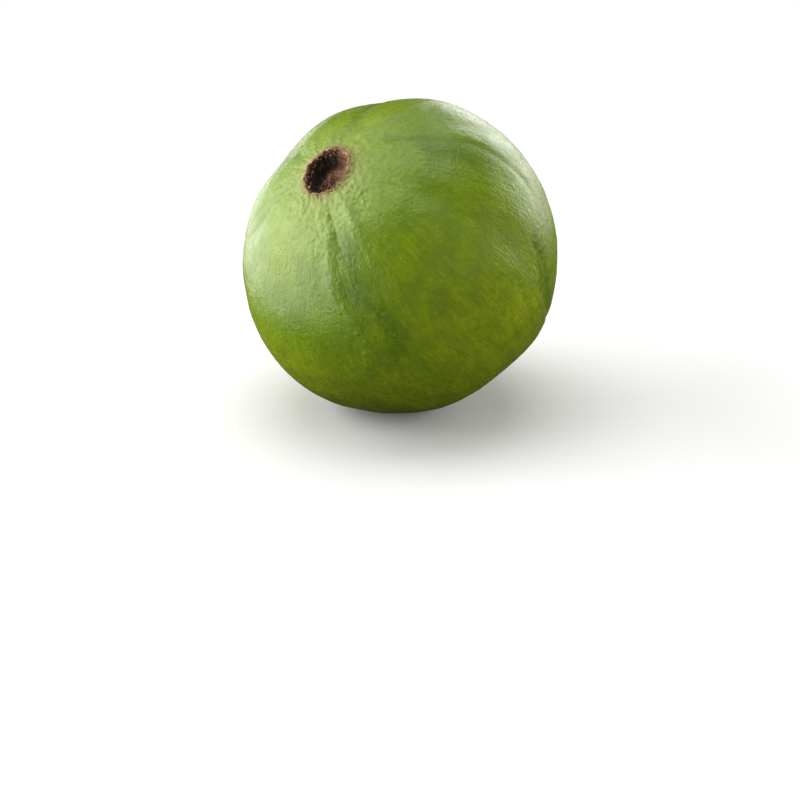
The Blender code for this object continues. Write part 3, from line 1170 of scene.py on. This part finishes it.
class GUAVA_OT_stem_scar(bpy.types.Operator):
    """Build the corky scar that the stalk leaves, with its torn edge and hollow middle"""

    bl_idname = "guava.stem_scar"
    bl_label = "Stem scar"

    def execute(self, context):
        skin = fruit_skin()
        shape = bmesh.new()
        profile = smooth_line(SCAR_PROFILE, [0.12] * (len(SCAR_PROFILE) - 1))
        rings = []
        for across, drop in profile[1:]:
            ring = []
            for k in range(SCAR_COLUMNS):
                turn = math.tau * k / SCAR_COLUMNS
                direction = Vector((math.cos(turn), math.sin(turn), 0))
                edge = 0.16 * noise.noise(direction * 2.2) + 0.10 * noise.noise(direction * 7.0)
                spot = direction * across * (1 + edge * min(1, across / 1.6))
                crumb = 0.16 * noise.fractal(spot * 1.6, 1.0, 2.0, 4) * min(1.0, across)
                spot.z = SCAR_BOTTOM + drop + crumb
                ring.append(shape.verts.new(to_world(skin, spot)))
            rings.append(ring)
        tip = shape.verts.new(to_world(skin, (0, 0, SCAR_BOTTOM + SCAR_PROFILE[0][1])))
        back = shape.verts.new(to_world(skin, (0, 0, SCAR_BOTTOM + SCAR_BACK)))
        join_rings(shape, rings)
        for k in range(SCAR_COLUMNS):
            after = (k + 1) % SCAR_COLUMNS
            shape.faces.new((tip, rings[0][after], rings[0][k]))
            shape.faces.new((back, rings[-1][k], rings[-1][after]))
        mesh = finished_mesh(shape, "stem_scar")
        new_piece("stem_scar", mesh, finishes()["cork"])
        return {"FINISHED"}


def soft_light(name, place, facing, size, brightness):
    """A rectangular light that gives the same brightness from wherever it is seen."""
    light = bpy.data.lights.new(name, "AREA")
    light.shape = "RECTANGLE"
    light.size, light.size_y = size
    light.energy = brightness * math.pi * size[0] * size[1]
    lamp = bpy.data.objects.new(name, light)
    lamp.location = place
    lamp.rotation_euler = Vector(facing).to_track_quat("-Z", "Y").to_euler()
    lamp.visible_camera = False
    bpy.context.scene.collection.objects.link(lamp)
    return lamp


def floor_material(stage):
    """A pale floor that lights the fruit weakly, and fades to plain white away from it."""
    material, tree, shader = new_material("floor")
    place = node(tree, "ShaderNodeTexCoord", "place").outputs["Object"]
    cloud = noise_value(tree, "faint clouding", place, 6.0)
    lower = tuple(0.985 * part for part in stage.floor[:3]) + (1,)
    wire(tree, mix_colour(tree, "floor colour", cloud, lower, stage.floor), shader.inputs["Base Color"])
    shader.inputs["Roughness"].default_value = 0.9
    shader.inputs["Specular IOR Level"].default_value = 0.1
    dim = node(tree, "ShaderNodeBsdfDiffuse", "floor as it lights the fruit")
    dim.inputs["Color"].default_value = (stage.bounce, stage.bounce, 0.96 * stage.bounce, 1)
    dark = node(tree, "ShaderNodeBsdfDiffuse", "floor in the gloss")
    dark.inputs["Color"].default_value = FLOOR_IN_GLOSS
    white = node(tree, "ShaderNodeEmission", "plain white far floor")
    white.inputs["Strength"].default_value = 1.0

    path = node(tree, "ShaderNodeLightPath", "seen or lit by").outputs
    distance = node(tree, "ShaderNodeVectorMath", "distance from the fruit", operation="LENGTH")
    wire(tree, place, distance.inputs[0])
    far = remap(tree, "far share", distance.outputs["Value"], *FADE_TO_WHITE)
    given = mix_shader(tree, "light or gloss", path["Is Glossy Ray"], dim, dark)
    seen = mix_shader(tree, "near or far floor", far, shader, white)
    either = mix_shader(tree, "seen or given back", path["Is Camera Ray"], given, seen)
    wire(tree, either.outputs[0], tree.nodes["Material Output"].inputs["Surface"])
    return material


def add_floor(stage):
    below = CAD_BOX[0].z - FLOOR_GAP
    bpy.ops.mesh.primitive_circle_add(
        vertices=96, radius=FLOOR_RADIUS, fill_type="NGON", location=(0, 0, below)
    )
    floor = bpy.context.object
    floor.name = "floor"
    floor.data.materials.append(floor_material(stage))


def add_sky(scene, stage):
    """White to the camera, soft light on the fruit, and a dark room in its gloss."""
    world = bpy.data.worlds.new("studio")
    world.use_nodes = True
    scene.world = world
    tree = world.node_tree
    light = tree.nodes["Background"]
    light.inputs["Color"].default_value = WHITE
    light.inputs["Strength"].default_value = stage.sky
    seen = node(tree, "ShaderNodeBackground", "seen backdrop")
    seen.inputs["Color"].default_value = WHITE
    dark = node(tree, "ShaderNodeBackground", "room in the gloss")
    dark.inputs["Strength"].default_value = 0.10
    path = node(tree, "ShaderNodeLightPath", "seen or lit by").outputs
    given = mix_shader(tree, "light or gloss", path["Is Glossy Ray"], light, dark)
    either = mix_shader(tree, "backdrop or light", path["Is Camera Ray"], given, seen)
    wire(tree, either.outputs[0], tree.nodes["World Output"].inputs["Surface"])


def add_camera(scene):
    camera = bpy.data.cameras.new("camera")
    camera.lens, camera.sensor_width = LENS, SENSOR_WIDTH
    camera.clip_start = 0.01
    eye = bpy.data.objects.new("camera", camera)
    away = Vector((0, -math.cos(EYE_ELEVATION), math.sin(EYE_ELEVATION)))
    eye.location = AIM + EYE_DISTANCE * away
    eye.rotation_euler = (EYE_TILT, 0, 0)
    scene.collection.objects.link(eye)
    scene.camera = eye
    scene.view_settings.view_transform = "Standard"
    scene.view_settings.look = "None"


class GUAVA_OT_stage(bpy.types.Operator):
    """Set up the pale floor, the soft lights, the sky and the camera"""

    bl_idname = "guava.stage"
    bl_label = "Stage"

    def execute(self, context):
        stage = context.scene.guava_stage
        add_floor(stage)
        for name, place, facing, size, share, brightness in SOFT_LIGHTS:
            lamp = soft_light(name, place, facing, size, share * getattr(stage, brightness))
            lamp.visible_glossy = brightness != "fill"
        add_sky(context.scene, stage)
        add_camera(context.scene)
        return {"FINISHED"}


class GUAVA_PT_panel(bpy.types.Panel):
    bl_label = "Guava"
    bl_idname = "GUAVA_PT_panel"
    bl_space_type = "VIEW_3D"
    bl_region_type = "UI"
    bl_category = "Guava"

    def draw(self, context):
        layout = self.layout
        for group in ("guava_shape", "guava_calyx", "guava_colours", "guava_stage"):
            box = layout.box()
            settings = getattr(context.scene, group)
            for name in settings.bl_rna.properties.keys():
                if name not in ("rna_type", "name"):
                    box.prop(settings, name)
        for operator in STEPS:
            layout.operator(operator.bl_idname)


STEPS = (GUAVA_OT_stage, GUAVA_OT_fruit, GUAVA_OT_calyx_flakes, GUAVA_OT_stamens, GUAVA_OT_stem_scar)
GROUPS = {
    "guava_shape": GuavaShape,
    "guava_calyx": GuavaCalyx,
    "guava_colours": GuavaColours,
    "guava_stage": GuavaStage,
}


def register():
    for group in (*GROUPS.values(), *STEPS, GUAVA_PT_panel):
        bpy.utils.register_class(group)
    for name, group in GROUPS.items():
        setattr(bpy.types.Scene, name, bpy.props.PointerProperty(type=group))


def unregister():
    for name in GROUPS:
        delattr(bpy.types.Scene, name)
    for group in reversed((*GROUPS.values(), *STEPS, GUAVA_PT_panel)):
        bpy.utils.unregister_class(group)


def main():
    register()
    bpy.ops.guava.stage()
    bpy.ops.guava.fruit()
    bpy.ops.guava.calyx_flakes()
    bpy.ops.guava.stamens()
    bpy.ops.guava.stem_scar()


if __name__ == "__main__":
    main()
